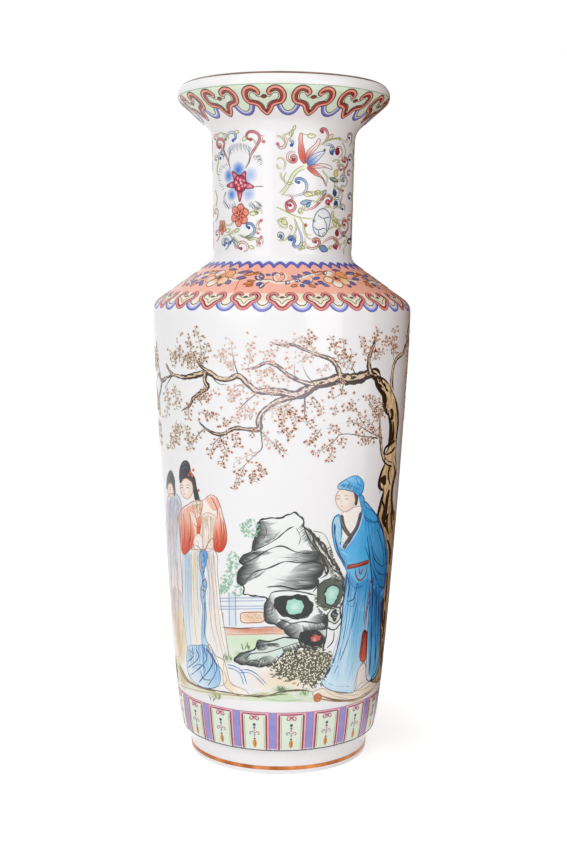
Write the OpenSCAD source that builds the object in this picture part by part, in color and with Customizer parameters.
// Rouleau vase of glazed porcelain, 46 cm tall, thrown in sections that are luted together with slip,
// with enamel transfers laid on the glaze and gilt lines on the lip and the foot.
// Units are millimetres. The axis is Z and the vase stands on z = 0, its painted front toward -Y.

/* [Overall] */
// Height from the standing rim to the top of the lip
vase_h = 460; // [430:1:500]
// Thickness of the porcelain wall
wall = 5.5; // [4:0.5:8]

/* [Foot] */
// Outer diameter of the recessed foot ring
foot_d = 124; // [116:1:128]
// Height of the upright side of the foot ring
foot_h = 8.5; // [7:0.5:11]
// Width of the unglazed rim that the vase stands on
foot_rim_w = 7; // [5:0.5:10]
// Thickness of the floor
floor_t = 8; // [6:0.5:11]
// Width of the seat on the foot ring that carries the floor
floor_seat_w = 2; // [1.5:0.5:3.5]
// Height of the thickened wall round the floor
floor_curb_h = 10; // [8:0.5:14]
// Height of the cove between the foot ring and the body
cove_h = 9; // [7:0.5:12]

/* [Body] */
// Diameter at the lower edge of the body
body_base_d = 134; // [130:1:142]
// Greatest diameter, just under the shoulder
body_top_d = 176.8; // [164:0.4:196]
// Height where the side starts to turn in to the shoulder
shoulder_z = 308; // [285:1:325]
// How far the side swells out just above its lower edge
hip_swell = 6.7; // [5:0.1:9]
// Length of the upright run under the shoulder
crown_h = 31; // [20:1:50]

/* [Shoulder] */
// Radius of the corner between side and shoulder
corner_r = 11; // [9:0.5:15]
// Slope of the shoulder above the horizontal, in degrees
shoulder_slope = 35.5; // [28:0.5:42]
// Radius of the cove at the root of the neck
root_r = 10; // [7:0.5:15]

/* [Neck and mouth] */
// Outer diameter at the root of the neck
neck_root_d = 94.4; // [86:0.4:104]
// Outer diameter at the top of the neck
neck_top_d = 97; // [90:0.5:106]
// Slope of the flared mouth from the vertical, in degrees
flare_slope = 48.5; // [42:0.5:54]
// Radius of the cove under the flare
flare_r = 14; // [9:0.5:18]
// Outer diameter of the rolled lip
lip_d = 144; // [136:1:152]
// Thickness of the rolled lip
lip_t = 13.5; // [11:0.5:16]

/* [Luted joints] */
// Height of the joint at the waist
waist_z = 165; // [120:1:220]
// Thickness of the slip in each joint
lute_t = 1.2; // [0.8:0.1:2]
// How far the slip stands out as a bead inside
lute_bead = 1; // [0.5:0.1:2]
// Size of the slip fillet round the floor
floor_bead = 3; // [2:0.5:5]

/* [Transfers and gilding] */
// Thickness of the clear glaze that transfers and gilding lie on
glaze_t = 0.15; // [0.1:0.05:0.3]
// Thickness of an enamel transfer
skin_t = 0.2; // [0.15:0.05:0.4]
// Lower edge of the panelled foot border above the body's lower edge
foot_border_z = 0.6; // [0.4:0.1:2]
// Height of the panelled foot border
foot_border_h = 28; // [22:0.5:32]
// Bare line between the foot border and the garden scene
scene_gap = 0.8; // [0.4:0.2:3]
// Bare band between the garden scene and the shoulder's corner
scene_top_gap = 6; // [3:0.5:14]
// Width of the seam between the two sheets of the scene
scene_seam = 0.6; // [0.4:0.1:2]
// Turn of the scene's first seam, in degrees from +X
scene_turn = 172; // [150:1:200]
// Height of the shoulder band, from lappet tips to wavy edge
band_h = 31.5; // [27:0.5:33]
// Upward shift of the lappet tips above the start of the corner
band_z = 2.5; // [1.5:0.5:6]
// Gap where the ends of the shoulder band meet
band_seam = 0.6; // [0.4:0.1:2]
// Turn of the seam in the shoulder band, in degrees from +X
band_turn = 246; // [230:1:262]
// Bare band between the root cove and the neck scroll
scroll_gap = 0.5; // [0.5:0.5:6]
// Bare band between the neck scroll and the mouth border
scroll_top_gap = 8; // [3:0.5:16]
// Gap where the ends of the neck scroll meet
scroll_seam = 9.5; // [4:0.5:14]
// Turn of the gap in the neck scroll, in degrees from +X
scroll_turn = 260; // [250:1:275]
// Height of the mouth border on the flare
mouth_border_h = 17.5; // [13:0.5:20]
// Bare band between the mouth border and the widest place of the lip
mouth_border_gap = 1.5; // [1:0.25:3]
// Width of the gilt line on the lip
lip_gilt_w = 2.6; // [1.5:0.1:3.5]
// Width of the gilt line on the foot ring
foot_gilt_w = 2.6; // [1.5:0.1:3.5]
// Height of the gilt line's lower edge on the foot ring
foot_gilt_z = 3; // [2.4:0.1:5]
// Thickness of the gilding
gilt_t = 0.12; // [0.08:0.02:0.3]

/* [Hidden] */
$fn = 96;

porcelain = "#F1F1F2";
slip_white = "#E4E2DC";
gilt = "#9A7A3C";

foot_r = foot_d / 2;
body_base_r = body_base_d / 2;
body_top_r = body_top_d / 2;
neck_root_r = neck_root_d / 2;
neck_top_r = neck_top_d / 2;
lip_r = lip_d / 2;

foot_in_r = foot_r - foot_rim_w;
floor_r = foot_in_r + floor_seat_w;
body_base_z = foot_h + cove_h;
floor_z = foot_h + floor_t;
curb_z = floor_z + floor_curb_h;

// point on a circle, and an arc as a run of such points
function on_circle(c, r, a) = c + r * [cos(a), sin(a)];
function arc(c, r, a0, a1, steps) =
    [for (i = [0:steps]) on_circle(c, r, a0 + (a1 - a0) * i / steps)];

// the side of the body: one cubic curve from its lower edge to the start of the corner
function side_point(t) =
    pow(1 - t, 3) * [body_base_r, body_base_z]
    + 3 * pow(1 - t, 2) * t * [body_base_r + hip_swell, body_base_z]
    + 3 * (1 - t) * t * t * [body_top_r, shoulder_z - crown_h]
    + t * t * t * [body_top_r, shoulder_z];
side = [for (i = [0:30]) side_point(i / 30)];

// corner, shoulder and the cove at the root of the neck, each tangent to the next
corner_c = [body_top_r - corner_r, shoulder_z];
corner = arc(corner_c, corner_r, 0, 90 - shoulder_slope, 7);
corner_end = on_circle(corner_c, corner_r, 90 - shoulder_slope);
root_start_r = neck_root_r + root_r * (1 - sin(shoulder_slope));
root_start_z = corner_end[1] + (corner_end[0] - root_start_r) * tan(shoulder_slope);
neck_root_z = root_start_z + root_r * cos(shoulder_slope);
root_c = [neck_root_r + root_r, neck_root_z];
root = arc(root_c, root_r, 270 - shoulder_slope, 180, 7);

// neck, the cove under the flare, the flare and the rolled lip
lip_c = [lip_r - lip_t / 2, vase_h - lip_t / 2];
flare_top = on_circle(lip_c, lip_t / 2, -flare_slope);
flare_start_r = neck_top_r + flare_r * (1 - cos(flare_slope));
flare_start_z = flare_top[1] - (flare_top[0] - flare_start_r) / tan(flare_slope);
neck_top_z = flare_start_z - flare_r * sin(flare_slope);
flare_c = [neck_top_r + flare_r, neck_top_z];
flare = arc(flare_c, flare_r, 180, 180 - flare_slope, 7);

// the inside of the mouth runs straight from the neck's cove to the lip, tangent to both
mouth_way = lip_c - flare_c;
mouth_turn = atan2(mouth_way[1], mouth_way[0])
    + acos((flare_r + wall - lip_t / 2) / norm(mouth_way));
mouth_inside = arc(flare_c, flare_r + wall, 180, mouth_turn, 6);
lip_under = arc(lip_c, lip_t / 2, -flare_slope, 0, 8);
lip_over = arc(lip_c, lip_t / 2, 0, mouth_turn, 14);

// outer face of the wall from the body's lower edge to the lip's widest place, and the face inside it
outer = concat(side, [for (i = [1:len(corner) - 1]) corner[i]], root, flare, lip_under);
last = len(outer) - 1;
function unit(v) = v / norm(v);
function out_dir(i) =
    let (way = unit(outer[min(i + 1, last)] - outer[max(i - 1, 0)])) [way[1], -way[0]];
function moved(t) = [for (i = [0:last]) outer[i] + t * out_dir(i)];
inner = moved(-wall);

// radius of a face at a height, and the run of its points between two heights
function r_at(face, z) = lookup(z, [for (p = face) [p[1], p[0]]]);
function run(face, z0, z1) = concat(
    [[r_at(face, z0), z0]],
    [for (p = face) if (p[1] > z0 + 0.05 && p[1] < z1 - 0.05) p],
    [[r_at(face, z1), z1]]);
function turned_back(pts) = [for (i = [len(pts) - 1:-1:0]) pts[i]];

// heights of the joints and of the edges of the transfers
lower_top = waist_z - lute_t / 2;
upper_bottom = waist_z + lute_t / 2;
upper_top = shoulder_z - lute_t;
shoulder_top = neck_root_z - lute_t / 2;
neck_bottom = neck_root_z + lute_t / 2;
foot_border_bottom = body_base_z + foot_border_z;
foot_border_top = foot_border_bottom + foot_border_h;
scene_bottom = foot_border_top + scene_gap;
scene_top = shoulder_z - scene_top_gap;
band_bottom = shoulder_z + band_z;
scroll_bottom = neck_bottom + scroll_gap;
mouth_border_top = lip_c[1] - mouth_border_gap;
mouth_border_bottom = mouth_border_top - mouth_border_h;
scroll_top = mouth_border_bottom - scroll_top_gap;

// the cove over the foot ring: an arc from its upright side to the body's lower edge
cove_turn = 2 * atan((body_base_r - foot_r) / cove_h);
cove_r = cove_h / sin(cove_turn);
cove = arc([foot_r + cove_r, foot_h], cove_r, 180, 180 - cove_turn, 6);

// one turned section of the wall
module section(z0, z1) {
    rotate_extrude() polygon(concat(run(outer, z0, z1), turned_back(run(inner, z0, z1))));
}

// one ring of slip in a joint, with its bead inside
module lute(z) {
    z0 = z - lute_t / 2;
    z1 = z + lute_t / 2;
    rotate_extrude() polygon([
        [r_at(outer, z0), z0], [r_at(outer, z1), z1],
        [r_at(inner, z1), z1], [r_at(inner, z) - lute_bead, z], [r_at(inner, z0), z0]]);
}

// one transfer laid on the wall, from one turn to another
module transfer(z0, z1, turn = 0, sweep = 360) {
    under = moved(glaze_t);
    top = moved(glaze_t + skin_t);
    rotate([0, 0, turn]) rotate_extrude(angle = sweep)
        polygon(concat(run(top, z0, z1), turned_back(run(under, z0, z1))));
}

// turn, in degrees, that a gap of this width takes up on a ring
function gap_turn(w, r) = w / r * 180 / PI;

module foot_ring() {
    edge = 1.2;
    color(porcelain) rotate_extrude() polygon(concat(
        arc([foot_in_r + edge, edge], edge, 180, 270, 4),
        arc([foot_r - edge, edge], edge, 270, 360, 4),
        [[foot_r, foot_h - lute_t], [foot_in_r, foot_h - lute_t]]));
}

module floor_disc() { color(porcelain) translate([0, 0, foot_h]) cylinder(h = floor_t, r = floor_r); }

module lower_body() {
    color(porcelain) rotate_extrude() polygon(concat(
        cove, run(outer, body_base_z + 0.2, lower_top),
        turned_back(run(inner, curb_z, lower_top)),
        [[floor_r, floor_z], [floor_r, foot_h]]));
}

module upper_body() { color(porcelain) section(upper_bottom, upper_top); }

module shoulder() { color(porcelain) section(shoulder_z, shoulder_top); }

module neck() {
    color(porcelain) rotate_extrude() polygon(concat(
        run(outer, neck_bottom, lip_c[1]),
        [for (i = [1:len(lip_over) - 1]) lip_over[i]],
        turned_back(mouth_inside),
        [[r_at(inner, neck_bottom), neck_bottom]]));
}

module foot_lute() {
    color(slip_white) translate([0, 0, foot_h - lute_t]) difference() {
        cylinder(h = lute_t, r = foot_r);
        translate([0, 0, -1]) cylinder(h = lute_t + 2, r = foot_in_r);
    }
}

module floor_lute() {
    curb_lean = (r_at(inner, curb_z) - floor_r) / floor_curb_h;
    color(slip_white) rotate_extrude() polygon([
        [floor_r - floor_bead, floor_z], [floor_r, floor_z],
        [floor_r + floor_bead * curb_lean, floor_z + floor_bead]]);
}

module waist_lute() { color(slip_white) lute(waist_z); }

module shoulder_lute() { color(slip_white) lute(shoulder_z - lute_t / 2); }

module neck_lute() { color(slip_white) lute(neck_root_z); }

module foot_border() { color("#B9C7B4") transfer(foot_border_bottom, foot_border_top); }

module scene_front() {
    gap = gap_turn(scene_seam, body_top_r);
    color("#D9D8D0") transfer(scene_bottom, scene_top, scene_turn + gap / 2, 180 - gap);
}

module scene_back() {
    gap = gap_turn(scene_seam, body_top_r);
    color("#D9D8D0") transfer(scene_bottom, scene_top, scene_turn + 180 + gap / 2, 180 - gap);
}

module shoulder_band() {
    gap = gap_turn(band_seam, neck_root_r);
    color("#CF7F68") transfer(band_bottom, band_bottom + band_h, band_turn + gap / 2, 360 - gap);
}

module neck_scroll() {
    gap = gap_turn(scroll_seam, neck_root_r);
    color("#D8D2CC") transfer(scroll_bottom, scroll_top, scroll_turn + gap / 2, 360 - gap);
}

module mouth_border() { color("#BFD2BC") transfer(mouth_border_bottom, mouth_border_top); }

module lip_gilding() {
    half = lip_gilt_w / lip_t * 180 / PI;
    color(gilt) rotate_extrude() polygon(concat(
        arc(lip_c, lip_t / 2 + glaze_t + gilt_t, 84 - half, 84 + half, 6),
        arc(lip_c, lip_t / 2 + glaze_t, 84 + half, 84 - half, 6)));
}

module foot_gilding() {
    line_r = foot_r + glaze_t;
    color(gilt) translate([0, 0, foot_gilt_z]) difference() {
        cylinder(h = foot_gilt_w, r = line_r + gilt_t);
        translate([0, 0, -1]) cylinder(h = foot_gilt_w + 2, r = line_r);
    }
}

foot_ring();
floor_disc();
lower_body();
upper_body();
shoulder();
neck();
foot_lute();
floor_lute();
waist_lute();
shoulder_lute();
neck_lute();
foot_border();
scene_front();
scene_back();
shoulder_band();
neck_scroll();
mouth_border();
lip_gilding();
foot_gilding();
